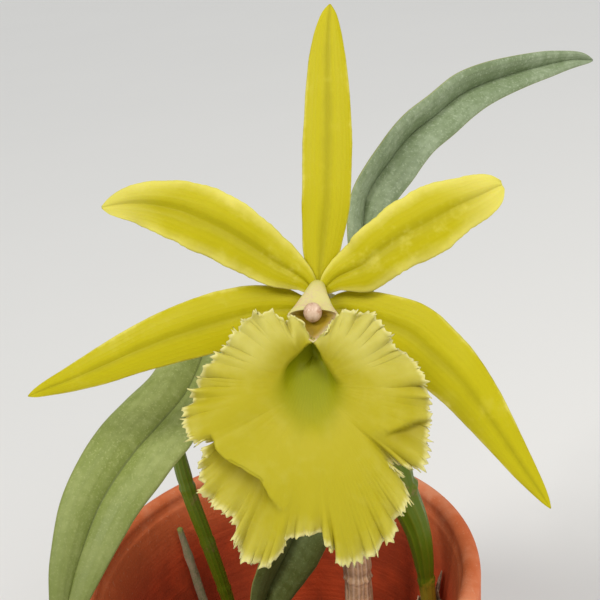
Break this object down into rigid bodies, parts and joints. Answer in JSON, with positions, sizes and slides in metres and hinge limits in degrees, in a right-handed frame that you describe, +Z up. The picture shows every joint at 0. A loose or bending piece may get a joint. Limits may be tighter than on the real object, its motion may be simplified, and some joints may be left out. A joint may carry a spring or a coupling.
{
  "type": "potted orchid",
  "caption": "Fringed-lip orchid in bloom with arching leathery leaves, growing from pseudobulbs in bark in a round tapered terracotta pot.",
  "frame": {"origin": "on the table surface, below the middle of the whole plant's box; the pot's axis is 38.8 mm towards -X and 0.7 mm towards -Y from it", "axes": "+Z up along the pot's axis; the flower faces -Y and upwards; +X is to the right of someone who looks at the flower"},
  "size_m": [0.2377, 0.182, 0.36],
  "materials": {
    "terracotta": "matte",
    "bark": "matte",
    "root": "matte",
    "rhizome": "matte",
    "bulb": "satin",
    "papery_sheath": "matte",
    "green_sheath": "satin",
    "leaf": "satin",
    "stalk": "satin",
    "sepal": "satin",
    "petal": "satin",
    "lip": "satin",
    "column": "satin",
    "anther": "satin"
  },
  "bodies": {
    "root": {"pot": "terracotta", "potting_bark": "bark", "rhizome": "rhizome", "root_wall": "root", "root_front": "root", "root_back": "root", "root_right": "root", "root_far": "root", "bulb_left": "bulb", "bulb_flowering": "bulb", "bulb_old": "papery_sheath", "young_growth": "green_sheath", "sheath_left": "papery_sheath", "sheath_right": "papery_sheath", "sheath_young": "green_sheath", "husk_right": "papery_sheath", "leaf_left": "leaf", "leaf_right": "leaf", "leaf_young": "leaf", "flower_stalk": "stalk", "flower_sheath": "green_sheath", "dorsal_sepal": "sepal", "lateral_sepal_left": "sepal", "lateral_sepal_right": "sepal", "petal_left": "petal", "petal_right": "petal", "lip": "lip", "column": "column", "anther_cap": "anther"}
  },
  "joints": []
}
